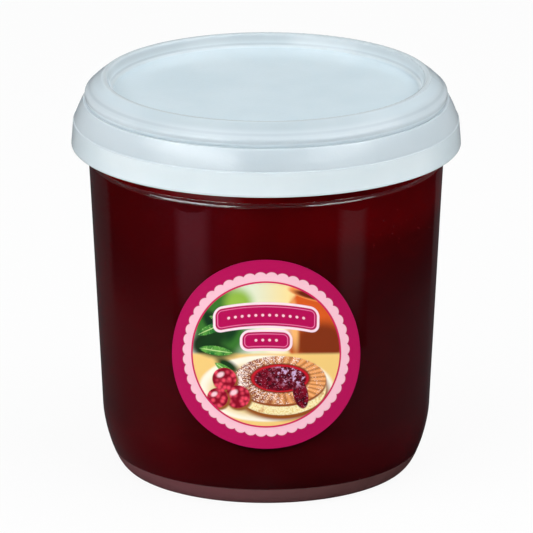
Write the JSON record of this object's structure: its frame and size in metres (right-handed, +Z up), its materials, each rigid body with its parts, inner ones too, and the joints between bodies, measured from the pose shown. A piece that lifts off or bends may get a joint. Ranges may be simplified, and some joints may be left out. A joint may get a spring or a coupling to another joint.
{
  "type": "lidded plastic jar of jam",
  "caption": "Squat round clear plastic jar filled with dark red jam, shut by a frosted press-on lid with a stacking recess, with a round picture label on its front.",
  "frame": {"origin": "centre of the flat ring that the jar stands on", "axes": "+Z up along the jar's axis, -Y out of the label, +X to the right as seen facing the label"},
  "size_m": [0.117, 0.117, 0.1205],
  "materials": {
    "clear_plastic": "clear, smooth and glossy",
    "jam": "dark red, wet, nearly opaque, with a few fine bubbles",
    "frosted_plastic": "bluish white, translucent, soft sheen",
    "printed_label": "glossy printed sticker, magenta with a pale pink scalloped ring round a picture"
  },
  "bodies": {
    "root": {"jar": "clear_plastic", "jam": "jam", "lid": "frosted_plastic", "label": "printed_label"}
  },
  "joints": []
}
